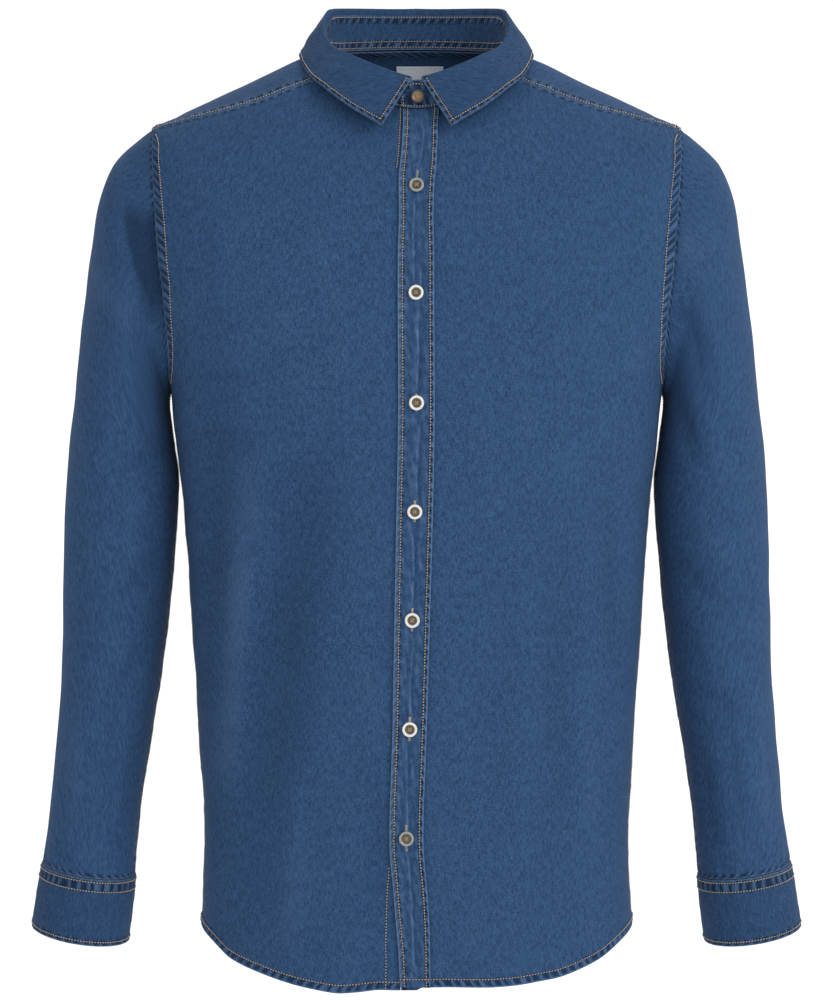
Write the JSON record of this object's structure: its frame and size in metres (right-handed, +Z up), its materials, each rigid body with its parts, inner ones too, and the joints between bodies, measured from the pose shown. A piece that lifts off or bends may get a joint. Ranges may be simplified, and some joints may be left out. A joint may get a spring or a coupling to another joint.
{
  "type": "denim shirt",
  "caption": "Long-sleeved button-front shirt of mid-blue denim, filled out as if worn, with pointed collar, yoke, plain placket, barrel cuffs and a curved hem.",
  "frame": {"origin": "middle of the neck, level with the high points of the shoulders, where the wearer's neck and shoulders hold the shirt", "axes": "+Z up along the body to the neck, -Y out of the button front, +X to the wearer's left"},
  "size_m": [0.6358, 0.238, 0.8089],
  "materials": {
    "denim": "washed mid-blue twill denim, matt, with lighter worn edges",
    "button": "horn-like, pale rim with a brown sunk middle, satin",
    "dark_button": "dark brown horn-like, satin",
    "label_cloth": "plain pale woven tape, blank"
  },
  "bodies": {
    "root": {"front_left_upper": "denim", "front_left_lower": "denim", "front_right_upper": "denim", "front_right_lower": "denim", "back": "denim", "yoke": "denim", "button_band": "denim", "placket": "denim", "collar_stand": "denim", "collar_fall": "denim", "sleeve_left": "denim", "sleeve_right": "denim", "cuff_left": "denim", "cuff_right": "denim", "sleeve_placket_left": "denim", "sleeve_placket_right": "denim", "neck_label": "label_cloth", "front_button_1": "button", "front_button_2": "button", "front_button_3": "button", "front_button_4": "button", "front_button_5": "button", "front_button_6": "button", "front_button_7": "button", "cuff_button_left": "button", "cuff_button_right": "button", "stand_button": "dark_button"}
  },
  "joints": []
}
